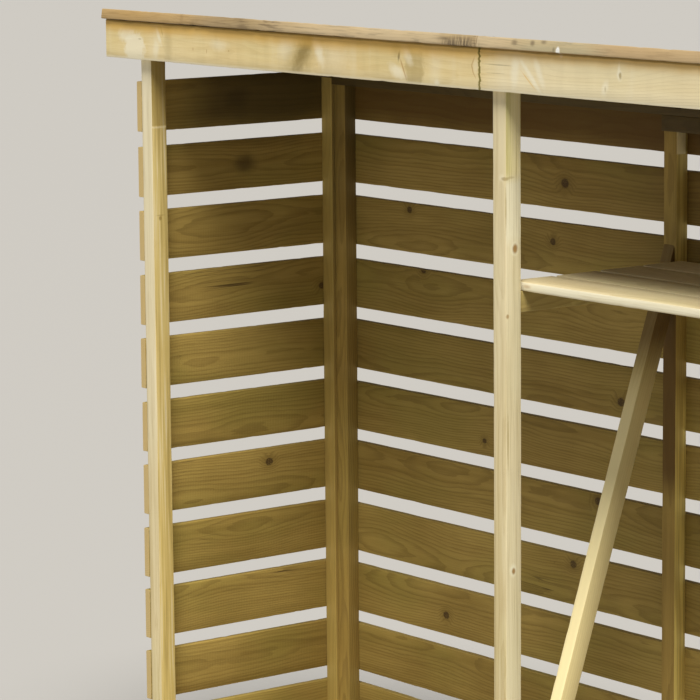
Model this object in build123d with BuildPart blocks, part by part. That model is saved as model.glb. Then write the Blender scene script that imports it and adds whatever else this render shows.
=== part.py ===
"""Two-bay timber log store with slatted sides and back, a raised slatted floor, a kindling
shelf in the right bay and a pent roof of tongued boards that falls to the back. The fascia
and the roof boards are in two halves that butt on the middle rafter.

Millimetres. X runs along the front to the right, Y from the open front to the back, Z up.
The origin is on the ground, under the middle of the whole store.
"""
import math
import os

from build123d import *

# Timber sections
post_size = 35
batten_width = 35
batten_depth = 28
slat_height = 100
slat_thickness = 16
rafter_height = 58
rail_width = 28
arris = 1.5

# Plan
frame_width = 2125
frame_depth = 485

# Side and back slats
slat_count = 12
slat_gap = 29
foot_clear = 45

# Fascia
fascia_height = 75
fascia_thickness = 16
fascia_above_slats = 47
fascia_overhang = 98
butt_gap = 1

# Roof
roof_slope = 9.4
roof_thickness = 20
roof_board_count = 5
front_lip = 8
back_overhang = 30
roof_end_lip = 6
tongue_length = 6
tongue_thickness = 5
tongue_clearance = 0.3
board_gap = 1
board_chamfer = 2

# Rails under the roof
front_rail_lift = 8
back_rail_height = 65
low_rail_height = 30

# Raised floor
floor_clear = 20
bearer_height = 58
floor_board_width = 95
floor_board_thickness = 16
floor_board_gap = 21

# Kindling shelf
shelf_drop = 339
shelf_thickness = 16
shelf_board_count = 4
shelf_board_gap = 10
shelf_setback = 5
shelf_bearer_height = 38
shelf_bearer_inset = 4

# Brace of the middle frame
brace_width = 28
brace_depth = 35
brace_top_drop = 361
brace_foot_height = 159

# Positions along X
frame_end_x = frame_width / 2
left_x = -frame_end_x
right_x = frame_end_x - post_size
middle_rafter_x = -post_size / 2
middle_x = middle_rafter_x + post_size
middle_batten_x = -batten_width
fascia_end_x = frame_end_x + fascia_overhang
roof_end_x = fascia_end_x + roof_end_lip

# Positions along Y
roof_angle = math.radians(roof_slope)
roof_depth = front_lip + fascia_thickness + frame_depth + slat_thickness + back_overhang
roof_front_y = -(roof_depth + roof_thickness * math.sin(roof_angle)) / 2
fascia_front_y = roof_front_y + front_lip
front_y = fascia_front_y + fascia_thickness
front_back_y = front_y + post_size
frame_back_y = front_y + frame_depth
rear_y = frame_back_y - post_size
batten_front_y = frame_back_y - batten_depth

# Heights
slat_pitch = slat_height + slat_gap
top_slat_z = foot_clear + slat_count * slat_pitch - slat_gap
fascia_z = top_slat_z + fascia_above_slats
fascia_top_z = fascia_z + fascia_height
fall = math.tan(roof_angle)


def roof_z(y):
    """Height of the roof boards' underside at a place along Y."""
    return fascia_top_z - fall * (y - fascia_front_y)


def rafter_z(y):
    """Height of the rafters' underside, on which the side frames' posts end."""
    return roof_z(y) - rafter_height


rail_z = roof_z(frame_back_y) - back_rail_height
low_rail_z = rail_z - low_rail_height
floor_z = floor_clear + bearer_height
shelf_z = fascia_z - shelf_drop
shelf_bearer_z = shelf_z - shelf_thickness - shelf_bearer_height

os.makedirs("parts", exist_ok=True)


def save(piece, label):
    """Labels a finished piece and writes it under its own name."""
    piece.part.label = label
    export_step(piece.part, f"parts/{label}.step")


def ease(piece, axis):
    """Rounds the long arrises of planed timber."""
    fillet(piece.edges().filter_by(axis), radius=arris)


# Front posts, cut at the top to the roof's slope: the outer two under the rafters that they
# carry, the middle one under the roof boards with its rafter nailed to its side
front_posts = {
    "left_front_post": (left_x, rafter_z),
    "middle_front_post": (middle_x, roof_z),
    "right_front_post": (right_x, rafter_z),
}
for label, (x, top_z) in front_posts.items():
    with BuildPart() as front_post:
        with BuildSketch(Plane.YZ.offset(x)):
            with BuildLine():
                Polyline(
                    (front_y, 0),
                    (front_back_y, 0),
                    (front_back_y, top_z(front_back_y)),
                    (front_y, top_z(front_y)),
                    close=True,
                )
            make_face()
        extrude(amount=post_size)
        ease(front_post, Axis.Z)
    save(front_post, label)

# Rear posts of the two side frames
for label, x in {"left_rear_post": left_x, "right_rear_post": right_x}.items():
    with BuildPart() as rear_post:
        with BuildSketch(Plane.YZ.offset(x)):
            with BuildLine():
                Polyline(
                    (rear_y, 0),
                    (frame_back_y, 0),
                    (frame_back_y, rafter_z(frame_back_y)),
                    (rear_y, rafter_z(rear_y)),
                    close=True,
                )
            make_face()
        extrude(amount=post_size)
        ease(rear_post, Axis.Z)
    save(rear_post, label)

# Upright battens of the back, one beside each rear post and one at the middle
back_battens = {
    "left_back_batten": (left_x + post_size, rail_z),
    "middle_back_batten": (middle_batten_x, low_rail_z),
    "right_back_batten": (right_x - batten_width, low_rail_z),
}
for label, (x, top) in back_battens.items():
    with BuildPart() as batten:
        with BuildSketch():
            with Locations((x, batten_front_y)):
                Rectangle(batten_width, batten_depth, align=Align.MIN)
        extrude(amount=top)
        ease(batten, Axis.Z)
    save(batten, label)

# Side slats, nailed across the outer faces of the front and rear posts
slat_levels = [foot_clear + n * slat_pitch for n in range(slat_count)]
for label, x in {"left_side_slats": left_x - slat_thickness, "right_side_slats": frame_end_x}.items():
    with BuildPart() as side_slats:
        with BuildSketch(Plane.YZ.offset(x)):
            with Locations([(front_y, z) for z in slat_levels]):
                Rectangle(frame_depth, slat_height, align=Align.MIN)
        extrude(amount=slat_thickness)
        ease(side_slats, Axis.Y)
    save(side_slats, label)

# Back slats at the same levels, which also cover the ends of the side slats
back_slat_x = left_x - slat_thickness
back_slat_length = frame_width + 2 * slat_thickness
with BuildPart() as back_slats:
    with BuildSketch(Plane.XZ.offset(-frame_back_y)):
        with Locations([(back_slat_x, z) for z in slat_levels]):
            Rectangle(back_slat_length, slat_height, align=Align.MIN)
    extrude(amount=-slat_thickness)
    ease(back_slats, Axis.X)
save(back_slats, "back_slats")

# Rafters: the outer two run back over the rear posts, the middle one ends at the back rail
rafters = {
    "left_rafter": (left_x, frame_back_y),
    "middle_rafter": (middle_rafter_x, rear_y),
    "right_rafter": (right_x, frame_back_y),
}
for label, (x, back) in rafters.items():
    with BuildPart() as rafter:
        with BuildSketch(Plane.YZ.offset(x)):
            with BuildLine():
                Polyline(
                    (front_y, rafter_z(front_y)),
                    (back, rafter_z(back)),
                    (back, roof_z(back)),
                    (front_y, roof_z(front_y)),
                    close=True,
                )
            make_face()
        extrude(amount=post_size)
    save(rafter, label)

# Front rails behind the fascia, from each outer rafter to the middle rafter and its post
rail_back_y = front_y + rail_width
front_rails = {
    "left_front_rail": (left_x + post_size, middle_rafter_x),
    "right_front_rail": (middle_x + post_size, right_x),
}
for label, (start, end) in front_rails.items():
    with BuildPart() as front_rail:
        with BuildSketch(Plane.YZ.offset(start)):
            with BuildLine():
                Polyline(
                    (front_y, fascia_z + front_rail_lift),
                    (rail_back_y, fascia_z + front_rail_lift),
                    (rail_back_y, roof_z(rail_back_y)),
                    (front_y, roof_z(front_y)),
                    close=True,
                )
            make_face()
        extrude(amount=end - start)
    save(front_rail, label)

# Back rail between the outer rafters, bevelled to carry the roof boards
with BuildPart() as back_top_rail:
    with BuildSketch(Plane.YZ.offset(left_x + post_size)):
        with BuildLine():
            Polyline(
                (rear_y, rail_z),
                (frame_back_y, rail_z),
                (frame_back_y, roof_z(frame_back_y)),
                (rear_y, roof_z(rear_y)),
                close=True,
            )
        make_face()
    extrude(amount=frame_width - 2 * post_size)
save(back_top_rail, "back_top_rail")

# Lower rail of the right bay's back, on top of the middle and right battens
with BuildPart() as right_back_rail:
    with BuildSketch(Plane.XY.offset(low_rail_z)):
        with Locations((middle_batten_x, rear_y)):
            Rectangle(right_x - middle_batten_x, post_size, align=Align.MIN)
    extrude(amount=low_rail_height)
save(right_back_rail, "right_back_rail")

# Fascia in two boards that butt on the middle rafter's end, bevelled under the roof boards
halves = {"left": -1, "right": 1}
for side, hand in halves.items():
    with BuildPart() as fascia:
        with BuildSketch(Plane.YZ.offset(hand * butt_gap / 2)):
            with BuildLine():
                Polyline(
                    (fascia_front_y, fascia_z),
                    (front_y, fascia_z),
                    (front_y, roof_z(front_y)),
                    (fascia_front_y, roof_z(fascia_front_y)),
                    close=True,
                )
            make_face()
        extrude(amount=hand * (fascia_end_x - butt_gap / 2))
        fillet(fascia.edges().filter_by(Axis.X).group_by(Axis.Z)[0], radius=arris)
    save(fascia, f"{side}_fascia")

# Roof boards, numbered from the front in the left half and then in the right half, tongued
# up the slope and grooved down it so that rain runs off each joint
cover = (roof_depth / math.cos(roof_angle) + board_gap) / roof_board_count
groove_length = tongue_length + tongue_clearance
groove_thickness = tongue_thickness + 2 * tongue_clearance
for half, hand in enumerate(halves.values()):
    roof_plane = Plane(
        origin=(hand * butt_gap / 2, roof_front_y, roof_z(roof_front_y)),
        x_dir=(0, math.cos(roof_angle), -math.sin(roof_angle)),
        z_dir=(1, 0, 0),
    )
    for n in range(roof_board_count):
        with BuildPart() as roof_board:
            with BuildSketch(roof_plane):
                with Locations((n * cover, 0)):
                    Rectangle(cover - board_gap, roof_thickness, align=Align.MIN)
                chamfer(vertices(), length=board_chamfer)
                if n > 0:
                    with Locations((n * cover, roof_thickness / 2)):
                        Rectangle(tongue_length, tongue_thickness, align=(Align.MAX, Align.CENTER))
                if n < roof_board_count - 1:
                    with Locations(((n + 1) * cover - board_gap, roof_thickness / 2)):
                        Rectangle(
                            groove_length,
                            groove_thickness,
                            align=(Align.MAX, Align.CENTER),
                            mode=Mode.SUBTRACT,
                        )
            extrude(amount=hand * (roof_end_x - butt_gap / 2))
        save(roof_board, f"roof_board_{half * roof_board_count + n + 1}")

# Floor bearers along the store, nailed to the posts' inner faces clear of the ground
floor_bearers = {"front_floor_bearer": front_back_y, "back_floor_bearer": rear_y - rail_width}
for label, y in floor_bearers.items():
    with BuildPart() as floor_bearer:
        with BuildSketch(Plane.XY.offset(floor_clear)):
            with Locations((left_x, y)):
                Rectangle(frame_width, rail_width, align=Align.MIN)
        extrude(amount=bearer_height)
    save(floor_bearer, label)

# Floor boards from the front posts to the rear posts, spaced evenly in each bay
floor_board_length = rear_y - front_back_y
floor_boards_in_bay = int(frame_end_x // (floor_board_width + floor_board_gap))
floor_step = frame_width / 2 / floor_boards_in_bay
for label, x in {"left_floor_boards": left_x, "right_floor_boards": 0}.items():
    with BuildPart() as floor_boards:
        with BuildSketch(Plane.XY.offset(floor_z)):
            with Locations(
                [(x + (n + 0.5) * floor_step, front_back_y) for n in range(floor_boards_in_bay)]
            ):
                Rectangle(floor_board_width, floor_board_length, align=(Align.CENTER, Align.MIN))
        extrude(amount=floor_board_thickness)
        ease(floor_boards, Axis.Y)
    save(floor_boards, label)

# Bearers of the kindling shelf, one on the middle frame and one on the right side slats
shelf_left_x = middle_x + shelf_bearer_inset
shelf_bearers = {
    "left_shelf_bearer": (shelf_left_x, frame_back_y),
    "right_shelf_bearer": (frame_end_x - rail_width, rear_y),
}
for label, (x, back) in shelf_bearers.items():
    with BuildPart() as shelf_bearer:
        with BuildSketch(Plane.XY.offset(shelf_bearer_z)):
            with Locations((x, front_back_y)):
                Rectangle(rail_width, back - front_back_y, align=Align.MIN)
        extrude(amount=shelf_bearer_height)
    save(shelf_bearer, label)

# Shelf boards along the right bay, from just behind the front posts to the back battens
shelf_front_y = front_back_y + shelf_setback
shelf_step = (rear_y - shelf_front_y + shelf_board_gap) / shelf_board_count
for n in range(shelf_board_count):
    with BuildPart() as shelf_board:
        with BuildSketch(Plane.XY.offset(shelf_z - shelf_thickness)):
            with Locations((shelf_left_x, shelf_front_y + n * shelf_step)):
                Rectangle(frame_end_x - shelf_left_x, shelf_step - shelf_board_gap, align=Align.MIN)
        extrude(amount=shelf_thickness)
        ease(shelf_board, Axis.X)
    save(shelf_board, f"shelf_board_{n + 1}")

# Diagonal brace of the middle frame, from the batten under the shelf to the front post's foot
brace_top = Vector(middle_batten_x + batten_width / 2, batten_front_y, fascia_z - brace_top_drop)
brace_foot = Vector(middle_x + post_size / 2, front_back_y, brace_foot_height)
brace_run = brace_top - brace_foot
brace_plane = Plane(origin=(brace_top + brace_foot) / 2, x_dir=(1, 0, 0), z_dir=brace_run)
with BuildPart() as middle_brace:
    with BuildSketch(brace_plane):
        Rectangle(brace_width, brace_depth)
    extrude(amount=brace_run.length, both=True)
    ease(middle_brace, Axis(brace_foot, brace_run))
    split(bisect_by=Plane.XZ.offset(-batten_front_y), keep=Keep.TOP)
    split(bisect_by=Plane.XZ.offset(-front_back_y), keep=Keep.BOTTOM)
save(middle_brace, "middle_brace")
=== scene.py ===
"""A timber log store in two bays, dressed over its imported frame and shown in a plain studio."""
import math
import random

import bmesh
import bpy
from mathutils import Matrix, Vector, noise


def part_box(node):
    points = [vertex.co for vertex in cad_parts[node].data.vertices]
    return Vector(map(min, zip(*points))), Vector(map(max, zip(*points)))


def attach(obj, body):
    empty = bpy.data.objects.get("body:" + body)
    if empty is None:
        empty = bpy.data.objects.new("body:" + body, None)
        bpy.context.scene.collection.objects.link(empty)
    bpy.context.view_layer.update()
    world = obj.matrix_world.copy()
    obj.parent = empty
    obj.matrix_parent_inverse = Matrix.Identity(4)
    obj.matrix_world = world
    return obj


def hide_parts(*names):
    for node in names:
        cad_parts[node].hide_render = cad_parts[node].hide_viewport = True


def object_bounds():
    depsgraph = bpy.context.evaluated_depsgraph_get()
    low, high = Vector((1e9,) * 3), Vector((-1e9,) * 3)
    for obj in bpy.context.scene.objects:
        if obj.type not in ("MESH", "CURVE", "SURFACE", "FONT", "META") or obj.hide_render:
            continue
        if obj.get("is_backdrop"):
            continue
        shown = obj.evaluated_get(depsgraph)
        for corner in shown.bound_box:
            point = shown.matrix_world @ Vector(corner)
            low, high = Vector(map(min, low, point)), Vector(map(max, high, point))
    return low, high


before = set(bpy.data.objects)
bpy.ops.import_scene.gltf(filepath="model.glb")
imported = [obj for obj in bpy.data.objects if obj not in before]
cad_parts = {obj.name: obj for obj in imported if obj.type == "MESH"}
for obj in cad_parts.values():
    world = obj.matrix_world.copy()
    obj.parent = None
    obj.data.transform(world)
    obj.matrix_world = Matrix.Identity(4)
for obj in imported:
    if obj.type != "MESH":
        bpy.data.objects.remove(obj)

cad_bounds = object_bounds()
X, Y, Z = Vector((1, 0, 0)), Vector((0, 1, 0)), Vector((0, 0, 1))

# Front posts
# The three front posts are planed softwood, 35 mm square, pressure-treated so that the straw
# colour has a green cast. They are sawn from long lengths, so each is one run of straight
# grain with a few small knots, and their tops are cut to the fall of the roof.
post_size = 0.035
post_arris = 0.0015
post_bow = 0.0012
ring_gap = 0.0045
seed = 20
roof_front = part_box("left_fascia")
roof_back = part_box("back_top_rail")
roof_fall = (roof_front[1].z - roof_back[1].z) / (roof_back[0].y - roof_front[0].y)
roof_edge = Vector((0, roof_front[0].y, roof_front[1].z))
roof_up = Vector((0, roof_fall, 1)).normalized()
down_slope = Vector((0, 1, -roof_fall)).normalized()
yard = random.Random(seed)
noise.seed_set(seed)


def pick(board, kind, wanted):
    """Selects the edges or faces of a board, open in edit mode, that pass a test."""
    bpy.ops.mesh.select_mode(type=kind)
    bpy.ops.mesh.select_all(action="DESELECT")
    mesh = bmesh.from_edit_mesh(board.data)
    for part in mesh.edges if kind == "EDGE" else mesh.faces:
        if wanted(part):
            part.select_set(True)
    bmesh.update_edit_mesh(board.data)


def reach(edge, axis):
    """How far an edge runs along X, Y or Z, given as 0, 1 or 2."""
    return abs(edge.verts[0].co[axis] - edge.verts[1].co[axis])


def saw(name, length, width, thickness, arris, cuts=72):
    """Saws a board about the origin with its length along X and rounds its arrises."""
    bpy.ops.object.select_all(action="DESELECT")
    bpy.ops.mesh.primitive_cube_add(size=1)
    board = bpy.context.object
    board.name = board.data.name = name
    board.scale = (length, width, thickness)
    bpy.ops.object.transform_apply(location=False, rotation=False, scale=True)
    bpy.ops.object.mode_set(mode="EDIT")
    pick(board, "EDGE", lambda edge: reach(edge, 1) > width / 2)
    bpy.ops.mesh.subdivide(number_cuts=3)
    pick(board, "EDGE", lambda edge: reach(edge, 0) > length / 2
         and abs(edge.verts[0].co.y) > width * 0.45)
    bpy.ops.mesh.bevel(offset=arris, segments=2)
    pick(board, "EDGE", lambda edge: sum(abs(face.normal.x) > 0.9 for face in edge.link_faces) == 1)
    bpy.ops.mesh.bevel(offset=arris / 3, segments=1)
    pick(board, "EDGE", lambda edge: reach(edge, 0) > length / 2)
    bpy.ops.mesh.subdivide(number_cuts=cuts)
    bpy.ops.object.mode_set(mode="OBJECT")
    return board


def season(board, bow, wear):
    """Notes each point's place in the timber, then bows, cups and chips the board a little."""
    number = yard.random()
    mesh = board.data
    grain = mesh.attributes.new("grain", "FLOAT_VECTOR", "POINT")
    grain.data.foreach_set("vector", [value for vertex in mesh.vertices for value in vertex.co])
    tree = mesh.attributes.new("board", "FLOAT", "POINT")
    tree.data.foreach_set("value", [number] * len(mesh.vertices))
    half = Vector([max(vertex.co[axis] for vertex in mesh.vertices) for axis in range(3)])
    end = mesh.attributes.new("end", "FLOAT", "POINT")
    end.data.foreach_set("value", [float(abs(vertex.co.x) > half.x - 0.0001) for vertex in mesh.vertices])
    for vertex in mesh.vertices:
        along, across, through = vertex.co
        bend = noise.noise_vector(Vector((along * 1.3, number * 53, 0)))
        side = Vector((along * 34, math.copysign(3, across) + number * 71, math.copysign(5, through)))
        chip = max(0.0, noise.noise(side) + 0.5 * noise.noise(side * 2.7) - 0.15) * wear
        corner = abs(across) > half.y - 0.0022 and abs(through) > half.z - 0.0022
        vertex.co.y += bend.x * bow - math.copysign(chip, across) * corner
        vertex.co.z += bend.y * bow + bend.z * bow * across / half.y * 0.4
        vertex.co.z -= math.copysign(chip, through) * corner


def lay(board, centre, along, across):
    """Turns a board into its place on the store. The place is kept in its mesh."""
    turn = Matrix((along, across, along.cross(across))).transposed().to_4x4()
    board.data.transform(Matrix.Translation(centre) @ turn)
    board.data.update()
    return board


def trim(board, point, beyond):
    """Saws off what lies beyond a plane and closes the cut."""
    bpy.ops.object.select_all(action="DESELECT")
    bpy.context.view_layer.objects.active = board
    board.select_set(True)
    bpy.ops.object.mode_set(mode="EDIT")
    bpy.ops.mesh.select_all(action="SELECT")
    bpy.ops.mesh.bisect(plane_co=point, plane_no=beyond, use_fill=True, clear_outer=True)
    bpy.ops.object.mode_set(mode="OBJECT")


def timber_in(name, low, high, along, across, arris=post_arris, bow=post_bow, wear=0.0006, cuts=72):
    """Makes a board that fills a box, with its grain one way and its width the other."""
    size = high - low
    through = along.cross(across)
    board = saw(name, abs(size.dot(along)), abs(size.dot(across)), abs(size.dot(through)), arris, cuts)
    season(board, bow, wear)
    return lay(board, (low + high) / 2, along, across)


def fix(piece, material, slot, *nodes):
    """Finishes a piece and sets it in the frame in place of its plain solids."""
    bpy.ops.object.select_all(action="DESELECT")
    bpy.context.view_layer.objects.active = piece
    piece.select_set(True)
    bpy.ops.object.shade_smooth_by_angle(angle=math.radians(35))
    piece.data.materials.clear()
    piece.data.materials.append(material)
    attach(piece, "root")
    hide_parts(*nodes)


class Figure:
    """A value, colour or place in a material. Sums and products of it become Math nodes."""

    def __init__(self, socket):
        self.socket = socket

    def node(self, kind, settings, inputs, output=0):
        """Adds a node: its settings are set first, then the values or links of its sockets."""
        tree = self.socket.id_data
        made = tree.nodes.new("ShaderNode" + kind)
        for name, value in settings.items():
            setattr(made, name, value)
        for place, value in inputs.items():
            if isinstance(value, Figure):
                tree.links.new(value.socket, made.inputs[place])
            else:
                made.inputs[place].default_value = value
        return Figure(made.outputs[output])

    def math(self, operation, *values):
        return self.node("Math", {"operation": operation}, dict(enumerate(values)))

    def __add__(self, other):
        return self.math("ADD", self, other)

    def __sub__(self, other):
        return self.math("SUBTRACT", self, other)

    def __rsub__(self, other):
        return self.math("SUBTRACT", other, self)

    def __mul__(self, other):
        return self.math("MULTIPLY", self, other)

    def __truediv__(self, other):
        return self.math("DIVIDE", self, other)

    __radd__ = __add__
    __rmul__ = __mul__

    def rise(self, low, high):
        """Runs smoothly from 0 where the value is low to 1 where it is high."""
        ends = {"Value": self, "From Min": low, "From Max": high}
        return self.node("MapRange", {"interpolation_type": "SMOOTHSTEP"}, ends)

    def stretch(self, x, y, z):
        return self.node("VectorMath", {"operation": "MULTIPLY"}, {0: self, 1: (x, y, z)})

    def parts(self):
        return [self.node("SeparateXYZ", {}, {0: self}, axis) for axis in "XYZ"]

    def place(self, x, y, z):
        return self.node("CombineXYZ", {}, {0: x, 1: y, 2: z})

    def cloud(self, scale, detail=2.0):
        """Soft noise about one half at this place."""
        return self.node("TexNoise", {}, {"Vector": self, "Scale": scale, "Detail": detail})

    def stain(self, colour, amount):
        """This colour with another one laid over it."""
        return self.node("Mix", {"data_type": "RGBA"}, {0: amount, 6: self, 7: colour}, 2)


def timber(name, width, thickness, pale, deep, late, knot, green, green_share=0.35, rings=0.42,
           knots=1.0, saw_marks=0.0, end_tone=(0.42, 0.28, 0.11, 1), paint=None):
    """A treated softwood: growth rings, knots, fibres, checks, end grain and arrises worn pale, partly as a
    painted highlight.
    """
    material = bpy.data.materials.new(name)
    material.use_nodes = True
    shader = material.node_tree.nodes["Principled BSDF"]
    start = Figure(shader.outputs[0])
    grain = start.node("Attribute", {"attribute_name": "grain"}, {}, "Vector")
    board = start.node("Attribute", {"attribute_name": "board"}, {}, "Fac")
    chance = start.node("TexWhiteNoise", {"noise_dimensions": "1D"}, {"W": board * 97.0}, "Color")
    chance_a, chance_b, chance_c = chance.parts()
    along, across, through = grain.parts()
    trunk = along + board * 41.0
    inside = start.place(trunk, across, through)

    # Knots run through the board, and the rings flow round them
    knot_field = start.place(trunk * 2.2, across * 2.6 + chance_a * 9.0, 0.0)
    to_knot = start.node("TexVoronoi", {"voronoi_dimensions": "2D"},
                         {"Vector": knot_field, "Scale": 1.0}, "Distance") * 0.42
    ragged = to_knot + (inside.cloud(220.0) - 0.5) * 0.003
    knot_size = chance_b * 0.005 + 0.006
    knot_mask = (1.0 - (ragged / knot_size).rise(0.75, 1.1)) * knots
    knot_halo = (1.0 - (ragged / knot_size).rise(0.9, 3.2)) * knots
    bulge = knot_halo * 0.008

    # Growth rings about a pith that wanders below the board
    sway = inside.stretch(1.0, 0.4, 0.4).cloud(1.1) - 0.5
    lean = inside.stretch(1.0, 0.4, 0.4).cloud(2.3, 1.0) - 0.5
    pith_y = across + sway * 0.09 + (chance_a - 0.5) * width
    pith_z = through + lean * 0.05 + chance_b * 0.05 + 0.02
    to_pith = start.place(0.0, pith_y, pith_z)
    radius = start.node("VectorMath", {"operation": "LENGTH"}, {0: to_pith}, "Value")
    wobble = inside.stretch(0.15, 1.0, 1.0).cloud(60.0) - 0.5
    phase = (radius + bulge) / ring_gap + wobble * 1.2
    ring = phase.math("FRACT", phase)
    latewood = ring.rise(0.35, 0.9) * (1.0 - ring.rise(0.93, 1.0))

    # Fibres, broad streaks and checks that follow the grain
    fibre = inside.stretch(0.02, 1.0, 1.0).cloud(750.0, 3.0)
    streak = inside.stretch(0.035, 1.0, 1.0).cloud(70.0, 3.0)
    slow = inside.cloud(2.6, 3.0)
    split = inside.stretch(0.012, 1.0, 1.0).cloud(95.0, 1.0) - 0.5
    split = 1.0 - split.math("ABSOLUTE", split).rise(0.0, 0.011)
    check = split * inside.stretch(0.5, 1.0, 1.0).cloud(7.0).rise(0.6, 0.72)

    tone = start.node("RGB", {}, {})
    tone.socket.default_value = pale
    depth = slow.rise(0.36, 0.66) * 0.55 + streak.rise(0.35, 0.7) * 0.35 + (chance_c - 0.5) * 0.3
    tone = tone.stain(deep, depth)
    tone = tone.stain(green, inside.stretch(0.5, 1.0, 1.0).cloud(5.5, 3.0).rise(0.42, 0.68) * green_share)
    tone = tone.stain(late, latewood * rings)
    tone = tone.stain(late, (1.0 - fibre.rise(0.3, 0.6)) * 0.22)
    tone = tone.stain(late, knot_halo * 0.35)
    tone = tone.stain(knot, knot_mask * 0.85)
    tone = tone.stain(knot, check * 0.8)

    # End grain takes more of the stain, and the arrises are worn pale, partly as a painted highlight where
    # the rounded edges catch the light
    end = start.node("Attribute", {"attribute_name": "end"}, {}, "Fac")
    tone = tone.stain(end_tone, end * (0.9 - latewood * 0.5))
    facing = start.node("NewGeometry", {}, {}, "Normal")
    spot = start.node("TexCoord", {}, {}, "Object")
    reach_y = width / 2 - across.math("ABSOLUTE", across)
    reach_z = thickness / 2 - through.math("ABSOLUTE", through)
    to_arris = reach_y.math("MAXIMUM", reach_y, reach_z) + (inside.cloud(160.0) - 0.5) * 0.002
    tone = tone.stain(pale, (1.0 - to_arris.rise(0.0005, 0.0024)) * 0.42)
    if paint:
        tone = paint(tone, spot, facing)

    height = latewood * 0.10 + fibre * 0.10 - check * 0.7 - knot_mask * 0.10
    if saw_marks:
        tooth = (along + (inside.cloud(30.0) - 0.5) * 0.002) * 1500.0
        height = height + tooth.math("SINE", tooth) * saw_marks * streak
    bump = start.node("Bump", {}, {"Height": height, "Distance": 0.001, "Strength": 0.8}, "Normal")
    tree = material.node_tree
    tree.links.new(tone.socket, shader.inputs["Base Color"])
    tree.links.new((streak * 0.15 + 0.62).socket, shader.inputs["Roughness"])
    tree.links.new(bump.socket, shader.inputs["Normal"])
    shader.inputs["Specular IOR Level"].default_value = 0.3
    return material


def mark(tone, spot, centre, size, colour, amount, edge=0.35, slant=0.0, rough=None):
    """Lays a soft-edged mark of one colour at a place on the store, leaning along X if wanted."""
    x, y, z = spot.node("VectorMath", {"operation": "SUBTRACT"}, {0: spot, 1: centre}).parts()
    away = spot.place(x - z * slant, y, z).stretch(1 / size[0], 1 / size[1], 1 / size[2])
    distance = away.node("VectorMath", {"operation": "LENGTH"}, {0: away}, "Value")
    if rough is None:
        rough = (spot.cloud(70.0, 3.0) - 0.5) * 0.5
    return tone.stain(colour, (1.0 - (distance + rough).rise(1.0 - edge, 1.0 + edge)) * amount)


left_post, middle_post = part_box("left_front_post"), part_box("middle_front_post")
left_face, middle_face = left_post[1].x, middle_post[1].x
mid_depth = (left_post[0].y + left_post[1].y) / 2
left_head_z = 1.478
post_painted_highlight = (1.42, 1.56)
post_shade_line = (1.445, 1.475)
post_wash_line = (1.33, 1.36)
post_shade = (0.30, 0.205, 0.05, 1)
post_cream = (0.84, 0.76, 0.54, 1)
post_yellow = (0.62, 0.46, 0.13, 1)
post_straw_and_painted_light = (0.90, 0.82, 0.46, 1)
post_olive = (0.50, 0.46, 0.16, 1)
post_pale = (0.86, 0.83, 0.62, 1)
knot_brown = (0.13, 0.055, 0.014, 1)
knot_red = (0.32, 0.165, 0.028, 1)
damp = (0.20, 0.15, 0.06, 1)
post_front = left_post[0].y
# Each mark of the posts: its middle, half width, half height, colour and strength.
post_marks = [
    ((left_face, mid_depth, 1.300), 0.009, 0.0012, post_shade, 0.50),
    ((left_face, mid_depth - 0.001, 1.294), 0.0035, 0.0045, post_shade, 0.85),
    ((middle_face - 0.012, post_front, 1.459), 0.007, 0.006, post_cream, 0.60),
    ((middle_face - 0.004, post_front, 1.457), 0.008, 0.0032, post_shade, 0.60),
    ((middle_face, post_front + 0.012, 1.459), 0.008, 0.0020, post_shade, 0.32),
    ((middle_face, post_front, 1.404), 0.0022, 0.050, post_shade, 0.60),
    ((middle_face, mid_depth + 0.003, 1.333), 0.0085, 0.012, post_pale, 0.70),
    ((middle_face, mid_depth + 0.004, 1.333), 0.0055, 0.0080, knot_red, 0.90),
    ((middle_face, post_front + 0.004, 1.214), 0.0030, 0.0040, knot_red, 0.70),
    ((middle_face, post_front + 0.004, 0.990), 0.0015, 0.050, post_shade, 0.55),
    ((middle_face, mid_depth - 0.002, 0.757), 0.0070, 0.011, post_pale, 0.70),
    ((middle_face, mid_depth - 0.001, 0.755), 0.0040, 0.0055, knot_red, 0.90),
]


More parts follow.
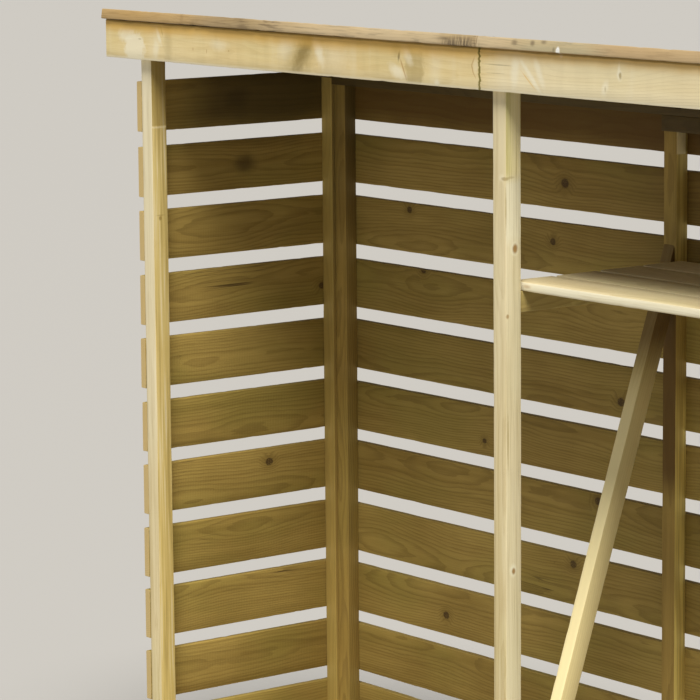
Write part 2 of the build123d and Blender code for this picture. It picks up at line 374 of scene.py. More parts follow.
def paint_posts(tone, spot, facing):
    """Pale fronts with a painted highlight under the fascia, the left post's yellow face and darker head,
    painted light and shade on the middle post's head, knots and damp feet.
    """
    x, y, z = spot.parts()
    right_face, front = facing.parts()[0].rise(0.4, 0.6), (facing.parts()[1] * -1.0).rise(0.4, 0.6)
    left = 1.0 - x.rise(-0.9, -0.8)
    height = (z + (spot.cloud(6.0) - 0.5) * 0.3).rise(0.3, 1.3)
    tone = tone.stain(post_cream, front * height * (left * 0.35 + 0.35))
    # Painted highlight: the fronts' tops are painted paler to offset the shadow of the fascia's lip.
    tone = tone.stain(post_cream, front * z.rise(*post_painted_highlight) * (left * 0.37 + 0.20))
    shaded = z.rise(*post_shade_line)
    washed = z.rise(*post_wash_line) * 0.35 + 0.40
    tone = tone.stain(post_pale, right_face * (1.0 - left) * (1.0 - shaded) * washed)
    # Painted light and shade: the middle post's olive head is painted lighter where the fascia shades it,
    # and darker near its front edge.
    near_front_painted_shade = 1.0 - y.rise(post_front + 0.002, post_front + 0.022)
    tone = tone.stain(post_straw_and_painted_light, right_face * (1.0 - left) * shaded * 0.70)
    tone = tone.stain(post_olive, right_face * (1.0 - left) * shaded * near_front_painted_shade * 0.60)
    tone = tone.stain(post_yellow, right_face * left * (0.80 - height * 0.15))
    strands = spot.stretch(1.0, 1.0, 0.02).cloud(210.0, 3.0)
    strength = right_face * (left * 0.30 + shaded * (1.0 - left) * 0.20 + 0.22) + front * 0.16
    tone = tone.stain(post_shade, strands.rise(0.48, 0.68) * strength)
    tone = tone.stain(post_cream, (1.0 - strands.rise(0.34, 0.48)) * strength * 0.8)
    seam = z + (spot.stretch(1.0, 1.0, 0.1).cloud(240.0) - 0.5) * 0.004
    head = seam.rise(left_head_z, left_head_z + 0.002) * left * right_face
    tone = tone.stain(post_shade, head * (z.rise(1.46, 1.60) * 0.25 + 0.50))
    cut = seam.rise(left_head_z - 0.005, left_head_z - 0.003) * (1.0 - head) * left * right_face
    tone = tone.stain(post_cream, cut * (1.0 - seam.rise(left_head_z - 0.001, left_head_z)) * 0.35)
    for centre, wide, tall, colour, amount in post_marks:
        tone = mark(tone, spot, centre, (wide, wide, tall), colour, amount, 0.5)
    return tone.stain(damp, (1.0 - (z + (spot.cloud(12.0) - 0.5) * 0.06).rise(0.0, 0.13)) * 0.6)


post_wood = timber("post wood", post_size, post_size, pale=(0.78, 0.66, 0.39, 1),
                   deep=(0.60, 0.47, 0.20, 1), late=(0.46, 0.33, 0.12, 1), knot=knot_brown,
                   green=(0.56, 0.54, 0.25, 1), knots=0.6, paint=paint_posts)
for name in ("left_front_post", "middle_front_post", "right_front_post"):
    low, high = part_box(name)
    post = timber_in(name + ".timber", low, high, Z, X)
    trim(post, Vector((0, low.y, high.z)), roof_up)
    fix(post, post_wood, "frame_timber", name)

# Rear posts and back battens
# The side frames have a rear post each, of the same planed stock as the front ones. The back
# is nailed to three battens, 35 by 28 mm and laid flat, so they sit a little behind the posts'
# faces: one beside each rear post and one at the middle of the store, with a pale strip high
# on its side that is painted light. Rear posts and battens take darker colours than the front
# posts, as painted shade at the back of the store.
batten_thickness = 0.028
dark_foot, dark_head = (0.80, 0.88), (1.20, 1.28)
painted_light_strip_z = 1.4655
# Umber serves both as painted shade inside the store and for the smudges on the left side slats.
umber = (0.040, 0.024, 0.0045, 1)
# This red-brown is used only as painted shade, around the shelf and under the roof.
painted_shade_brown = (0.098, 0.044, 0.003, 1)
batten_painted_light = (0.90, 0.72, 0.22, 1)
batten_strip_painted_light = (0.95, 0.82, 0.46, 1)


def paint_battens(tone, spot, facing):
    """Painted shade in the left corner and on the middle batten's front around the shelf, and painted light
    on the middle batten's side and in a strip high on it.
    """
    x, y, z = spot.parts()
    right_face = facing.parts()[0].rise(0.4, 0.6)
    middle = x.rise(-0.1, -0.05) * (1.0 - x.rise(0.2, 0.3))
    corner = 1.0 - x.rise(-0.97, -0.9)
    flat = x.rise(-1.0285, -1.0265) * corner
    painted_roof_shade = z.rise(1.0, 1.5) * 0.25 + 0.10
    tone = tone.stain(post_yellow, corner * (1.0 - flat) * 0.36)
    # Painted shade: the left corner's inner faces and far strip darken upward under the roof.
    tone = tone.stain(umber, flat * (painted_roof_shade - 0.08) + right_face * corner * (painted_roof_shade + 0.12))
    # Painted shade: the middle batten's front is darkened around the shelf.
    painted_shelf_shade = z.rise(*dark_foot) * (1.0 - z.rise(*dark_head))
    tone = tone.stain(painted_shade_brown, middle * (1.0 - right_face) * (painted_shelf_shade * 0.68 + 0.14))
    strands = spot.stretch(1.0, 1.0, 0.02).cloud(170.0, 2.0).rise(0.42, 0.60)
    # Painted light: the middle batten's side is painted pale above and below the shelf.
    painted_light_side = right_face * middle * (z.rise(1.22, 1.28) * 0.70 + (1.0 - z.rise(0.97, 1.06)) * 0.95)
    tone = tone.stain(batten_painted_light, painted_light_side * (0.45 + strands * 0.55))
    # Painted light: a strip high on the middle batten's side is painted as pale as the wood allows.
    strip = z.rise(painted_light_strip_z, painted_light_strip_z + 0.0015) * (1.0 - y.rise(0.2235, 0.2245)) * right_face
    return tone.stain(batten_strip_painted_light, strip * middle * 0.95)


# The batten wood is darker than the post wood, as painted shade at the back of the store.
rear_wood = timber("batten wood", post_size, batten_thickness, pale=(0.50, 0.34, 0.085, 1),
                   deep=(0.34, 0.22, 0.050, 1), late=(0.20, 0.125, 0.028, 1), knot=knot_brown,
                   green=(0.34, 0.28, 0.065, 1), knots=0.7, end_tone=(0.22, 0.15, 0.05, 1),
                   paint=paint_battens)
for name in ("left_rear_post", "right_rear_post"):
    low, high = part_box(name)
    post = timber_in(name + ".timber", low, high, Z, X)
    trim(post, Vector((0, low.y, high.z)), roof_up)
    fix(post, rear_wood, "frame_timber", name)
for name in ("left_back_batten", "middle_back_batten", "right_back_batten"):
    batten = timber_in(name + ".timber", *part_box(name), Z, X)
    fix(batten, rear_wood, "frame_timber", name)

# Side and back slats
# Twelve sawn boards close each side and the back, 100 by 16 mm with gaps between them. They
# keep the fur and the tooth marks of the saw. Inside their faces are painted dark as painted
# shade, most of all under the roof, and outside the weather has bleached them. Each has dried
# a little differently, so no two lie quite level.
slat_count = 12
slat_height = 0.100
board_thickness = 0.016
slat_tilt = 0.0012
roof_shade_line = (1.41, 1.50)
second_slat_line = (1.22, 1.27)
straw = (0.56, 0.43, 0.20, 1)
side_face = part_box("left_side_slats")[1].x
# Each smudge of the left side: its middle, half width, half height and strength.
slat_smudges = [
    ((side_face, -0.002, 1.385), 0.022, 0.018, 0.60),
    ((side_face, -0.020, 1.520), 0.026, 0.020, 0.50),
]


def stack(name, pattern, centres, along, across, bow, wear, tilt=0.0):
    """Copies one sawn board to several places and joins the copies as one piece."""
    boards = []
    for centre in centres:
        board = pattern.copy()
        board.data = pattern.data.copy()
        bpy.context.scene.collection.objects.link(board)
        season(board, bow, wear)
        turned = (along + across * yard.uniform(-tilt, tilt)).normalized()
        slipped = across * yard.uniform(-tilt, tilt) + along * yard.uniform(-tilt, tilt) * 0.7
        lay(board, centre + slipped, turned, (across - turned * across.dot(turned)).normalized())
        boards.append(board)
    bpy.data.objects.remove(pattern)
    bpy.ops.object.select_all(action="DESELECT")
    for board in boards:
        board.select_set(True)
    bpy.context.view_layer.objects.active = boards[0]
    bpy.ops.object.join()
    boards[0].name = boards[0].data.name = name
    return boards[0]


def rows(low, high, count, size, axis):
    """Centres of like boards that are spread evenly over a box."""
    step = (high - low).dot(axis) - size
    middle = (low + high) / 2
    first = middle - axis * step / 2
    return [first + axis * step * n / (count - 1) for n in range(count)]


def bleach_and_painted_shade(tone, spot, facing):
    """Faces that look out of the store are bleached, and those inside get painted shade, most under the
    roof.
    """
    x, y, z = spot.parts()
    outward = spot.stretch(0.94, 4.2, 0.0)
    outward = spot.node("VectorMath", {"operation": "DOT_PRODUCT"}, {0: facing, 1: outward}, "Value")
    bleached = outward.rise(0.3, 0.8)
    weather = spot.stretch(0.3, 0.3, 1.0).cloud(14.0, 3.0).rise(0.3, 0.7)
    tone = tone.stain(straw, bleached * (weather * 0.3 + 0.5))
    inward = 1.0 - bleached
    ripple = (spot.cloud(9.0) - 0.5) * 0.04
    # Painted shade: inner faces darken under the roof, and the back's inner faces also from the second slat
    # line up, most in the right bay.
    painted_roof_shade = (z + ripple).rise(*roof_shade_line) * inward
    back = y.rise(0.225, 0.229)
    tone = tone.stain(umber, painted_roof_shade * (1.0 - back) * (y + ripple).rise(-0.22, -0.06) * 0.78)
    tone = tone.stain(painted_shade_brown, painted_roof_shade * back * 0.82)
    second = (z + ripple).rise(*second_slat_line) * (x.rise(-0.3, 0.05) * 0.45 + 0.08)
    tone = tone.stain(painted_shade_brown, inward * back * second)
    for centre, half, tall, amount in slat_smudges:
        tone = mark(tone, spot, centre, (half, half, tall), umber, amount, 0.8)
    return tone


slat_wood = timber("slat wood", slat_height, board_thickness, pale=(0.44, 0.31, 0.080, 1),
                   deep=(0.26, 0.17, 0.036, 1), late=(0.14, 0.085, 0.016, 1),
                   knot=(0.05, 0.024, 0.008, 1), green=(0.28, 0.23, 0.045, 1), green_share=0.5,
                   rings=0.38, saw_marks=0.12, end_tone=(0.66, 0.46, 0.18, 1), paint=bleach_and_painted_shade)
for name, along in {"left_side_slats": Y, "right_side_slats": Y, "back_slats": X}.items():
    low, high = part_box(name)
    size = high - low
    through = along.cross(Z)
    pattern = saw("slat", size.dot(along), slat_height, abs(size.dot(through)), post_arris)
    slats = stack(name + ".boards", pattern, rows(low, high, slat_count, slat_height, Z), along, Z,
                  0.0012, 0.0010, slat_tilt)
    fix(slats, slat_wood, "slat_timber", name)

# Nails
# Round-headed nails of galvanised wire hold every slat and board. The heads are set by hand,
# so they are never quite in line, and they have dulled to a blotchy grey.
nail_radius = 0.0032
nail_length = 0.004
nail_dome = 0.0004
nail_proud = 0.0009
nail_stray = 0.0025
nail_lean = 0.06
zinc_dull = (0.30, 0.30, 0.29, 1)
zinc_bloom = (0.46, 0.45, 0.42, 1)


def galvanised(name):
    """Dull zinc with a spangle and a little white rust."""
    material = bpy.data.materials.new(name)
    material.use_nodes = True
    shader = material.node_tree.nodes["Principled BSDF"]
    start = Figure(shader.outputs[0])
    spot = start.node("TexCoord", {}, {}, "Object")
    bloom = spot.cloud(420.0, 3.0).rise(0.4, 0.65)
    tone = start.node("RGB", {}, {})
    tone.socket.default_value = zinc_dull
    tone = tone.stain(zinc_bloom, bloom)
    material.node_tree.links.new(tone.socket, shader.inputs["Base Color"])
    material.node_tree.links.new((bloom * 0.3 + 0.4).socket, shader.inputs["Roughness"])
    shader.inputs["Metallic"].default_value = 0.85
    return material


def drive(name, places, outward):
    """Drives one nail at each place, with its head towards the hammer, as one piece."""
    bpy.ops.object.select_all(action="DESELECT")
    bpy.ops.mesh.primitive_cylinder_add(vertices=12, radius=nail_radius, depth=nail_length)
    pattern = bpy.context.object
    bpy.ops.object.mode_set(mode="EDIT")
    pick(pattern, "FACE", lambda face: face.normal.z > 0.9)
    bpy.ops.mesh.inset(thickness=nail_radius * 0.25)
    bpy.ops.transform.translate(value=(0, 0, nail_dome))
    bpy.ops.object.mode_set(mode="OBJECT")
    nails = []
    side = outward.orthogonal().normalized()
    for place in places:
        nail = pattern.copy()
        nail.data = pattern.data.copy()
        bpy.context.scene.collection.objects.link(nail)
        stray = side * yard.uniform(-1, 1) + outward.cross(side) * yard.uniform(-1, 1)
        lean = (outward + stray * nail_lean).normalized()
        turn = lean.to_track_quat("Z", "Y").to_matrix().to_4x4()
        head = place + stray * nail_stray + outward * (nail_proud - nail_length / 2)
        nail.data.transform(Matrix.Translation(head) @ turn)
        nails.append(nail)
    bpy.data.objects.remove(pattern)
    bpy.ops.object.select_all(action="DESELECT")
    for nail in nails:
        nail.select_set(True)
    bpy.context.view_layer.objects.active = nails[0]
    bpy.ops.object.join()
    nails[0].name = nails[0].data.name = name
    bpy.ops.object.shade_smooth_by_angle(angle=math.radians(30))
    nails[0].data.materials.clear()
    nails[0].data.materials.append(zinc)
    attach(nails[0], "root")


zinc = galvanised("nail zinc")
nail_spread = slat_height * 0.27
for side, outward in {"left": -X, "right": X}.items():
    low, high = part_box(side + "_side_slats")
    face = low.x if side == "left" else high.x
    places = []
    for row in rows(low, high, slat_count, slat_height, Z):
        for post in ("front", "rear"):
            post_low, post_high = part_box(f"{side}_{post}_post")
            for lift in (-nail_spread, nail_spread):
                places.append(Vector((face, (post_low.y + post_high.y) / 2, row.z + lift)))
    drive(side + "_side_nails", places, outward)
low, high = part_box("back_slats")
places = []
for row in rows(low, high, slat_count, slat_height, Z):
    for upright in ("left_rear_post", "middle_back_batten", "right_rear_post"):
        upright_low, upright_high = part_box(upright)
        for lift in (-nail_spread, nail_spread):
            places.append(Vector(((upright_low.x + upright_high.x) / 2, high.y, row.z + lift)))
drive("back_nails", places, Y)

# Rafters and rails
# Rafters 35 by 58 mm run down the slope, plumb-cut at both ends. Rails between them, bevelled
# on top, carry the front and back of the roof, and a lower rail caps the right bay's battens.
rafter_depth = 0.058
# Rafters and rails take dark colours as painted shade under the roof, with the slats' painted shade laid on
# their inner faces.
rafter_wood = timber("rafter wood", post_size, rafter_depth, pale=(0.34, 0.24, 0.075, 1),
                     deep=(0.22, 0.15, 0.042, 1), late=(0.14, 0.09, 0.023, 1), knot=knot_brown,
                     green=(0.22, 0.18, 0.05, 1), paint=bleach_and_painted_shade)
for name in ("left_rafter", "middle_rafter", "right_rafter"):
    low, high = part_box(name)
    run = (high.y - low.y) / down_slope.y
    depth = (high.z - low.z - roof_fall * (high.y - low.y)) * down_slope.y
    rafter = saw(name + ".timber", run + 2 * depth, high.x - low.x, depth, post_arris, 36)
    season(rafter, 0.0008, 0.0006)
    lay(rafter, (low + high) / 2, down_slope, X)
    trim(rafter, low, -Y)
    trim(rafter, high, Y)
    fix(rafter, rafter_wood, "frame_timber", name)
for name in ("left_front_rail", "right_front_rail", "back_top_rail"):
    low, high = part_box(name)
    rail = timber_in(name + ".timber", low, high, X, Z)
    trim(rail, Vector((0, low.y, high.z)), roof_up)
    fix(rail, rafter_wood, "frame_timber", name)
rail = timber_in("right_back_rail.timber", *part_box("right_back_rail"), X, Z)
fix(rail, rafter_wood, "frame_timber", "right_back_rail")

# Fascia
# Two planed boards, 75 by 16 mm, butt on the end of the middle rafter. They are the palest
# timber of the store, stained warmer where the roof's lip keeps them dry, this warm band painted
# brighter as painted light against the lip's shadow, with a painted shadow line just under the
# lip, knots, a few scars, a pale patch near the left end and green growth in the joint.
cream = (0.86, 0.79, 0.58, 1)
# Amber is painted brighter than the wood's own warm colour, as painted light where the lip shades it.
amber = (0.74, 0.44, 0.085, 1)
olive = (0.30, 0.215, 0.055, 1)
bruise = (0.21, 0.145, 0.030, 1)
scar_red = (0.42, 0.22, 0.07, 1)
moss = (0.165, 0.135, 0.012, 1)
dropping = (0.90, 0.90, 0.86, 1)
drop_x = 0.216
# This dark brown serves for dirt marks on the face and as painted shadow under the lip.
dirt_and_painted_shadow = (0.11, 0.075, 0.012, 1)
fascia_low, fascia_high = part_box("left_fascia")
fascia_face = fascia_low.y
fascia_middle = (fascia_low.z + fascia_high.z) / 2
fascia_half = (fascia_high.z - fascia_low.z) / 2
# Each mark of the fascia: place along the front, height above its middle, half width, half
# height, lean, colour, strength and softness of its edge.
fascia_marks = [
    (-1.060, -0.018, 0.034, 0.034, 0.00, cream, 0.85, 0.22),
    (-1.088, 0.010, 0.026, 0.014, 0.20, cream, 0.70, 0.45),
    (-1.042, 0.003, 0.005, 0.0010, 0.00, olive, 0.55, 0.50),
    (-0.977, 0.013, 0.005, 0.016, -0.45, cream, 0.80, 0.60),
    (-0.985, -0.012, 0.009, 0.018, 0.10, cream, 0.60, 0.70),
    (-0.966, 0.022, 0.0016, 0.009, -0.40, olive, 0.60, 0.60),
    (-0.945, 0.000, 0.012, 0.050, 0.00, olive, 0.30, 0.90),
    (-0.861, -0.008, 0.0016, 0.003, 0.00, scar_red, 0.45, 0.50),
    (-0.816, -0.010, 0.0014, 0.004, 0.00, scar_red, 0.45, 0.50),
    (-0.744, -0.006, 0.0020, 0.002, 0.00, scar_red, 0.45, 0.50),
    (-0.775, 0.004, 0.024, 0.009, 0.00, cream, 0.45, 0.80),
    (-0.562, 0.010, 0.022, 0.022, 0.30, cream, 0.45, 0.80),
    (-0.512, 0.000, 0.034, 0.055, 0.60, olive, 0.42, 0.90),
    (-0.509, 0.004, 0.017, 0.038, 0.65, bruise, 0.62, 0.80),
    (-0.462, 0.008, 0.011, 0.024, -0.35, cream, 0.70, 0.70),
    (-0.415, -0.002, 0.040, 0.032, 0.00, cream, 0.35, 0.90),
    (-0.233, 0.026, 0.011, 0.014, 0.00, olive, 0.40, 0.80),
    (-0.182, -0.010, 0.025, 0.060, 0.00, olive, 0.42, 0.25),
    (-0.199, 0.012, 0.010, 0.015, -0.40, cream, 0.55, 0.70),
    (-0.230, -0.018, 0.018, 0.013, -0.90, cream, 0.75, 0.60),
    (-0.225, 0.011, 0.0030, 0.009, 0.20, dirt_and_painted_shadow, 0.65, 0.60),
    (-0.213, -0.012, 0.0018, 0.016, -0.45, scar_red, 0.65, 0.60),
    (-0.118, -0.032, 0.007, 0.005, 0.00, cream, 0.80, 0.60),
    (-0.121, 0.000, 0.014, 0.060, 0.00, cream, 0.28, 0.90),
    (-0.017, 0.012, 0.0016, 0.007, 0.50, scar_red, 0.55, 0.60),
    (-0.019, -0.002, 0.0014, 0.008, -0.30, scar_red, 0.60, 0.60),
    (-0.014, -0.012, 0.0014, 0.006, -0.70, scar_red, 0.45, 0.60),
    (-0.010, 0.004, 0.006, 0.012, 0.00, cream, 0.35, 0.80),
    (0.022, 0.024, 0.016, 0.0010, 6.00, dirt_and_painted_shadow, 0.40, 0.70),
    (0.052, 0.009, 0.034, 0.0010, 4.00, dirt_and_painted_shadow, 0.40, 0.70),
    (0.044, -0.006, 0.024, 0.0009, 5.00, dirt_and_painted_shadow, 0.30, 0.70),
    (0.095, 0.001, 0.009, 0.030, 0.10, cream, 0.80, 0.70),
    (0.137, -0.007, 0.006, 0.028, -0.94, cream, 0.95, 0.60),
    (0.157, 0.005, 0.007, 0.026, -0.45, cream, 0.78, 0.70),
    (0.131, -0.014, 0.0018, 0.014, -1.20, amber, 0.62, 0.60),
    (drop_x, 0.0335, 0.0040, 0.0045, 0.00, dropping, 0.90, 0.30),
    (0.327, -0.016, 0.007, 0.012, 0.30, cream, 0.75, 0.60),
    (0.328, -0.018, 0.0020, 0.0045, 0.00, olive, 0.45, 0.60),
    (0.362, 0.020, 0.0025, 0.011, 0.10, cream, 0.80, 0.60),
    (0.363, 0.008, 0.0060, 0.009, 0.00, cream, 0.80, 0.40),
    (0.365, 0.007, 0.0034, 0.0055, 0.00, olive, 0.70, 0.50),
]


def paint_fascia(tone, spot, facing):
    """The fascia's dry top edge, lightened as painted light, with a painted shadow under the lip, its pale
    foot, the scars on its face and the green joint.
    """
    x, _, z = spot.parts()
    band = spot.stretch(1.0, 1.0, 0.12).cloud(22.0, 3.0)
    tone = tone.stain(olive, band.rise(0.50, 0.78) * 0.16)
    tone = tone.stain(cream, (1.0 - band.rise(0.26, 0.50)) * 0.30)
    tone = tone.stain(cream, x.rise(-0.01, 0.10) * 0.40)
    rough = (spot.cloud(110.0, 4.0) - 0.5) * 0.9
    for centre, lift, half, tall, slant, colour, amount, edge in fascia_marks:
        place = (centre, fascia_face, fascia_middle + lift)
        tone = mark(tone, spot, place, (half, 0.02, tall), colour, amount, edge, slant, rough)
    ripple = (spot.cloud(24.0) - 0.5) * 0.010
    # The dry band, in an amber brightened as painted light.
    dry = (z + ripple + x.rise(-0.02, 0.08) * -0.007).rise(fascia_high.z - 0.032, fascia_high.z - 0.008)
    tone = tone.stain(amber, dry * 0.78)
    # Painted shadow: a dark line just under the roof's lip.
    tone = tone.stain(dirt_and_painted_shadow, (z + ripple * 0.4).rise(fascia_high.z - 0.0054, fascia_high.z - 0.0025) * 0.65)
    lower = (1.0 - z.rise(fascia_low.z + 0.002, fascia_low.z + 0.032)) * (x.rise(-0.1, 0.1) * 0.24 + 0.06)
    tone = tone.stain(cream, lower)
    tone = tone.stain(cream, (1.0 - z.rise(fascia_low.z + 0.001, fascia_low.z + 0.006)) * 0.7)
    crumbled = spot.stretch(0.3, 0.3, 1.0).cloud(150.0, 3.0) - 0.5
    from_joint = x.math("ABSOLUTE", x + crumbled * 0.013)
    return tone.stain(moss, (1.0 - (from_joint + crumbled * 0.004).rise(0.0016, 0.0040)) * 0.85)


fascia_wood = timber("fascia wood", fascia_half * 2, board_thickness, pale=(0.83, 0.69, 0.38, 1),
                     deep=(0.71, 0.54, 0.24, 1), late=(0.52, 0.37, 0.14, 1), knot=knot_brown,
                     green=(0.70, 0.62, 0.28, 1), green_share=0.3, rings=0.16, knots=0.0,
                     end_tone=(0.52, 0.37, 0.16, 1), paint=paint_fascia)
for name in ("left_fascia", "right_fascia"):
    low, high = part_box(name)
    fascia = timber_in(name + ".timber", low, high, X, Z, wear=0.0012, cuts=150)
    trim(fascia, Vector((0, low.y, high.z)), roof_up)
    fix(fascia, fascia_wood, "fascia_timber", name)

# Roof boards
# Ten boards, 20 mm thick and tongued together, lie along the roof in two halves that meet on
# the middle rafter. Rain and sun have weathered them brown and grey, their edges are ragged,
# and the front ones stand past the fascia as a drip.
roof_board_count = 5
roof_thickness = 0.020
roof_arris = 0.002
board_gap = 0.001
roof_nail_spread = 0.028
joint_nail_inset = 0.011
front_board, back_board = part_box("roof_board_1"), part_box("roof_board_5")
roof_lean = down_slope.y
roof_depth = (back_board[1].y - front_board[0].y - roof_thickness * -down_slope.z) / roof_lean
cover = (roof_depth + board_gap) / roof_board_count
lip_z = roof_edge.z + 0.0013
grey = (0.42, 0.35, 0.26, 1)
roof_brown = (0.46, 0.29, 0.10, 1)
roof_pale = (0.66, 0.53, 0.33, 1)
roof_stain = (0.13, 0.095, 0.055, 1)
roof_grey = (0.50, 0.44, 0.27, 1)
roof_tan = (0.50, 0.34, 0.17, 1)
# Each mark of the lip: place along the front, height above the lip's foot, half width,
# half height and strength.
lip_marks = [
    (0.102, 0.012, 0.007, 0.004, 0.60),
    (0.149, 0.013, 0.005, 0.004, 0.65),
    (0.178, 0.016, 0.006, 0.003, 0.60),
    (0.205, 0.004, 0.003, 0.004, 0.50),
]


def paint_roof(tone, spot, facing):
    """Silver-grey weathering on top, and a brushed, stained front edge with spots and a drop."""
    x, _, z = spot.parts()
    up, front = facing.parts()[2].rise(0.3, 0.8), (facing.parts()[1] * -1.0).rise(0.6, 0.9)
    weather = spot.stretch(0.6, 1.0, 1.0).cloud(7.0, 4.0)
    tone = tone.stain(grey, weather.rise(0.35, 0.6) * (up * 0.45 + 0.30))
    tone = tone.stain(roof_stain, spot.stretch(0.5, 1.0, 1.0).cloud(16.0, 3.0).rise(0.56, 0.72) * 0.45)
    brushed = spot.stretch(0.06, 1.0, 1.0).cloud(260.0, 4.0)
    lower = 1.0 - (z + (brushed - 0.5) * 0.010).rise(lip_z + 0.006, lip_z + 0.012)
    tone = tone.stain(roof_pale, front * lower * 0.22)
    tone = tone.stain(roof_stain, front * brushed.rise(0.50, 0.66) * 0.62)
    tone = tone.stain(roof_brown, front * (1.0 - x.rise(-1.02, -0.50)) * 0.62)
    tone = tone.stain(roof_pale, front * x.rise(-0.62, -0.45) * (1.0 - x.rise(-0.12, -0.08)) * 0.42)
    tone = tone.stain(roof_pale, front * x.rise(-0.004, 0.0) * (1.0 - x.rise(0.02, 0.16)) * 0.60)
    beside = front * x.rise(0.06, 0.16) * (1.0 - x.rise(0.26, 0.38) * 0.85)
    tone = tone.stain(roof_grey, beside * (lower * 0.20 + 0.55))
    tone = tone.stain(roof_tan, front * x.rise(0.26, 0.38) * 0.62)
    for centre, lift, half, tall, amount in lip_marks:
        place = (centre, front_board[0].y, lip_z + lift)
        tone = mark(tone, spot, place, (half, 0.03, tall), roof_stain, amount, 0.8)
    tone = mark(tone, spot, (-0.73, front_board[0].y, lip_z), (0.10, 0.06, 0.05), roof_stain, 0.35, 0.8)
    runs = spot.stretch(1.0, 0.1, 0.1).cloud(330.0, 2.0).rise(0.36, 0.58)
    place = (-0.046, front_board[0].y, lip_z + 0.001)
    tone = mark(tone, spot, place, (0.044, 0.03, 0.014), roof_stain, runs * 0.85, 0.5)
    place = (drop_x, front_board[0].y, lip_z + 0.002)
    return mark(tone, spot, place, (0.0048, 0.01, 0.0075), dropping, 0.95, 0.3)


roof_wood = timber("roof wood", cover - board_gap, roof_thickness, pale=(0.56, 0.42, 0.22, 1),
                   deep=(0.42, 0.28, 0.12, 1), late=(0.26, 0.165, 0.07, 1), knot=(0.10, 0.05, 0.02, 1),
                   green=(0.44, 0.38, 0.20, 1), rings=0.30, knots=0.7, end_tone=(0.30, 0.20, 0.09, 1),
                   paint=paint_roof)
roof_nails = []
for number in range(1, 2 * roof_board_count + 1):
    name = f"roof_board_{number}"
    low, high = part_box(name)
    row = (number - 1) % roof_board_count
    board = saw(name + ".timber", high.x - low.x, cover - board_gap, roof_thickness, roof_arris, 150)
    season(board, 0.0010, 0.0018 if row == 0 else 0.0010)
    underside = Vector(((low.x + high.x) / 2, front_board[0].y, 0))
    underside.z = roof_edge.z - roof_fall * (underside.y - roof_edge.y)
    across_slope = down_slope * (row * cover + (cover - board_gap) / 2)
    lay(board, underside + across_slope + roof_up * roof_thickness / 2, X, down_slope)
    fix(board, roof_wood, "roof_timber", name)
    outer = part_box("left_rafter" if low.x < 0 else "right_rafter")
    for x in ((outer[0].x + outer[1].x) / 2, math.copysign(joint_nail_inset, low.x + high.x)):
        for shift in (-roof_nail_spread, roof_nail_spread):
            place = Vector((x, underside.y, underside.z)) + across_slope + down_slope * shift
            roof_nails.append(place + roof_up * roof_thickness)
drive("roof_nails", roof_nails, roof_up)

# Floor
# The raised floor is nine sawn boards in each bay, laid front to back with gaps so that air
# rises through it. They are nailed to two bearers that run the length of the store,
# clear of the ground.
floor_board_count = 9
floor_board_width = 0.095
floor_nail_spread = 0.026
floor_wood = timber("floor wood", floor_board_width, board_thickness, pale=(0.42, 0.33, 0.16, 1),
                    deep=(0.27, 0.20, 0.08, 1), late=(0.17, 0.115, 0.04, 1), knot=(0.06, 0.03, 0.01, 1),
                    green=(0.26, 0.24, 0.09, 1), green_share=0.4, saw_marks=0.1)
bearer_wood = timber("bearer wood", rafter_depth, batten_thickness, pale=(0.42, 0.33, 0.15, 1),
                     deep=(0.28, 0.20, 0.075, 1), late=(0.19, 0.125, 0.04, 1), knot=knot_brown,
                     green=(0.25, 0.24, 0.09, 1))
for name in ("front_floor_bearer", "back_floor_bearer"):
    bearer = timber_in(name + ".timber", *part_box(name), X, Z, cuts=96)
    fix(bearer, bearer_wood, "frame_timber", name)
for side in ("left", "right"):
    low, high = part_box(side + "_floor_boards")
    pattern = saw("floor board", high.y - low.y, floor_board_width, high.z - low.z, post_arris, 48)
    centres = rows(low, high, floor_board_count, floor_board_width, X)
    boards = stack(side + "_floor_boards.boards", pattern, centres, Y, X, 0.0010, 0.0010, 0.0015)
    fix(boards, floor_wood, "slat_timber", side + "_floor_boards")
    places = []
    for centre in centres:
        for bearer in ("front_floor_bearer", "back_floor_bearer"):
            bearer_low, bearer_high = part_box(bearer)
            for shift in (-floor_nail_spread, floor_nail_spread):
                places.append(Vector((centre.x + shift, (bearer_low.y + bearer_high.y) / 2, high.z)))
    drive(side + "_floor_nails", places, Z)

# Kindling shelf
# Four sawn boards cross the right bay on two bearers, one against the middle frame and one
# against the side slats. The front edge is planed and bleached almost white, with a reddish
# knot near its left end.
shelf_board_count = 4
shelf_board_width = 0.095
shelf_bearer_depth = 0.038
shelf_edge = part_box("shelf_board_1")[0]
shelf_bleach = (0.88, 0.83, 0.63, 1)


def paint_shelf(tone, spot, facing):
    """The bleached front edge of the first board and the knot in it."""
    y, z = spot.parts()[1:]
    front = (facing.parts()[1] * -1.0).rise(0.3, 0.7)
    front = front * (1.0 - y.rise(shelf_edge.y + 0.01, shelf_edge.y + 0.02))
    brushed = spot.stretch(0.04, 1.0, 1.0).cloud(300.0, 3.0)
    tone = tone.stain(shelf_bleach, front * (brushed.rise(0.25, 0.6) * 0.30 + 0.55))
    tone = tone.stain(olive, front * (1.0 - z.rise(shelf_edge.z + 0.001, shelf_edge.z + 0.004)) * 0.35)
    place = (0.062, shelf_edge.y, shelf_edge.z + 0.009)
    return mark(tone, spot, place, (0.010, 0.01, 0.003), scar_red, 0.45, 0.7)


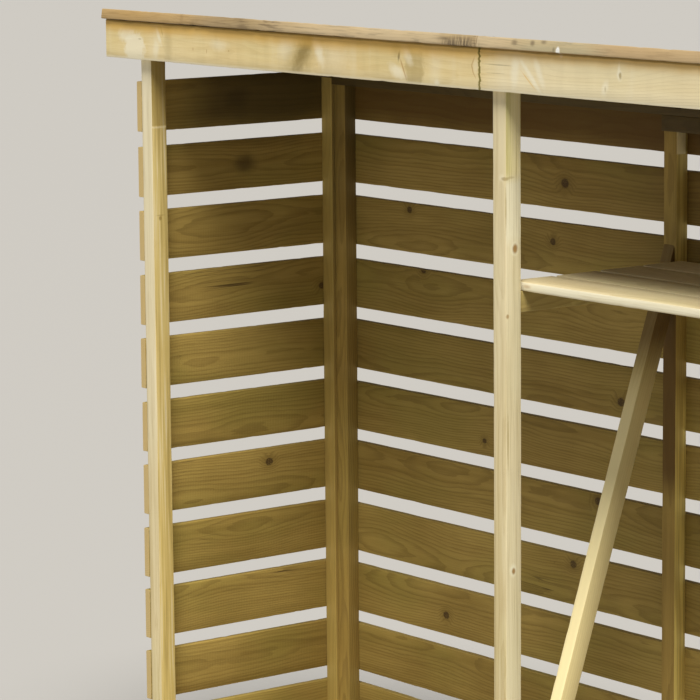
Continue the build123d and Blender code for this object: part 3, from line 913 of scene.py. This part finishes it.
shelf_wood = timber("shelf wood", shelf_board_width, board_thickness, pale=(0.72, 0.62, 0.38, 1),
                    deep=(0.58, 0.47, 0.25, 1), late=(0.40, 0.30, 0.13, 1), knot=knot_brown,
                    green=(0.58, 0.55, 0.28, 1), rings=0.3, paint=paint_shelf)
shelf_bearer_wood = timber("shelf bearer wood", shelf_bearer_depth, batten_thickness,
                           pale=(0.52, 0.41, 0.15, 1), deep=(0.38, 0.28, 0.09, 1),
                           late=(0.25, 0.175, 0.055, 1), knot=knot_brown,
                           green=(0.38, 0.34, 0.10, 1))
for name in ("left_shelf_bearer", "right_shelf_bearer"):
    bearer = timber_in(name + ".timber", *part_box(name), Y, Z, cuts=48)
    fix(bearer, shelf_bearer_wood, "frame_timber", name)
for number in range(1, shelf_board_count + 1):
    name = f"shelf_board_{number}"
    board = timber_in(name + ".timber", *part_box(name), X, Y, wear=0.0010)
    fix(board, shelf_wood, "slat_timber", name)

# Diagonal brace
# One planed length, 28 by 35 mm, leans from the back batten under the shelf down to the foot
# of the middle post. The two do not stand in line, so it is skewed and its ends are cut to
# the faces that they meet.
brace_width = 0.028
brace_depth = 0.035
brace_painted_light = (0.92, 0.80, 0.44, 1)
painted_light_below = (0.98, 1.10)
painted_shade_above = (1.01, 1.15)


def paint_brace(tone, spot, facing):
    """Painted shade under the shelf, and painted light where it comes forward into the light."""
    z = spot.parts()[2]
    right_face = facing.parts()[0].rise(0.4, 0.7)
    lift = z + (spot.cloud(8.0) - 0.5) * 0.06
    # Painted light: the brace is painted paler below the shelf, less on its right face.
    tone = tone.stain(brace_painted_light, (1.0 - lift.rise(*painted_light_below)) * (0.90 - right_face * 0.40))
    tone = tone.stain(olive, right_face * 0.15)
    # Painted shade: it is darkened upward under the shelf.
    return tone.stain(painted_shade_brown, lift.rise(*painted_shade_above) * (right_face * 0.10 + 0.80))


brace_wood = timber("brace wood", brace_width, brace_depth, pale=(0.78, 0.64, 0.29, 1),
                    deep=(0.64, 0.50, 0.20, 1), late=(0.46, 0.34, 0.12, 1), knot=knot_brown,
                    green=(0.62, 0.54, 0.20, 1), knots=0.6, paint=paint_brace)
brace_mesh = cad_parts["middle_brace"].data
brace_low, brace_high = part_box("middle_brace")
brace_ends = []
for y in (brace_low.y, brace_high.y):
    cut = [vertex.co for vertex in brace_mesh.vertices if abs(vertex.co.y - y) < 0.0001]
    corners = [Vector([limit(point[axis] for point in cut) for axis in range(3)]) for limit in (min, max)]
    brace_ends.append((corners[0] + corners[1]) / 2)
brace_run = brace_ends[1] - brace_ends[0]
brace_along = brace_run.normalized()
brace_across = (X - brace_along * X.dot(brace_along)).normalized()
brace = saw("middle_brace.timber", brace_run.length + 4 * brace_depth, brace_width, brace_depth, post_arris)
season(brace, 0.0012, 0.0006)
lay(brace, (brace_ends[0] + brace_ends[1]) / 2, brace_along, brace_across)
trim(brace, brace_low, -Y)
trim(brace, brace_high, Y)
fix(brace, brace_wood, "frame_timber", "middle_brace")

# Camera, floor and lights
# The store stands on a plain pale floor that runs out of sight. One large soft lamp stands
# high to its front and right, the rest is even light, and the camera looks in from the right.
camera_lens = 183.92
camera_place = (4.79387, -4.29577, 2.11191)
camera_turn = math.radians(52.09)
camera_tilt = math.radians(81.28)
camera_roll = math.radians(-0.47)
lamp_turn, lamp_tilt = math.radians(50), math.radians(31)
floor_grey = (0.42, 0.41, 0.39, 1)
camera_data = bpy.data.cameras.new("camera")
camera_data.lens = camera_lens
camera_data.sensor_width = 36.0
camera = bpy.data.objects.new("camera", camera_data)
bpy.context.scene.collection.objects.link(camera)
camera.matrix_world = (
    Matrix.Translation(camera_place)
    @ Matrix.Rotation(camera_turn, 4, "Z")
    @ Matrix.Rotation(camera_tilt, 4, "X")
    @ Matrix.Rotation(camera_roll, 4, "Z")
)
bpy.context.scene.camera = camera

bpy.ops.mesh.primitive_plane_add(size=200)
floor = bpy.context.object
floor.name = "floor"
studio_floor = bpy.data.materials.new("studio floor")
studio_floor.use_nodes = True
floor_shader = studio_floor.node_tree.nodes["Principled BSDF"]
floor_shader.inputs["Base Color"].default_value = floor_grey
floor_shader.inputs["Roughness"].default_value = 0.9
floor.data.materials.append(studio_floor)
floor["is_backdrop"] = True

sun_data = bpy.data.lights.new("key", "SUN")
sun_data.energy = 4.6
sun_data.angle = math.radians(28)
sun_data.color = (1.0, 0.97, 0.92)
sun = bpy.data.objects.new("key", sun_data)
sun.matrix_world = Matrix.Rotation(lamp_turn, 4, "Z") @ Matrix.Rotation(lamp_tilt, 4, "X")
bpy.context.scene.collection.objects.link(sun)

world = bpy.data.worlds.new("studio")
bpy.context.scene.world = world
world.use_nodes = True
world.node_tree.nodes["Background"].inputs["Color"].default_value = (1, 1, 1, 1)
world.node_tree.nodes["Background"].inputs["Strength"].default_value = 0.24
bpy.context.scene.view_settings.view_transform = "Standard"

corners = [[list(corner) for corner in bounds] for bounds in (cad_bounds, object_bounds())]
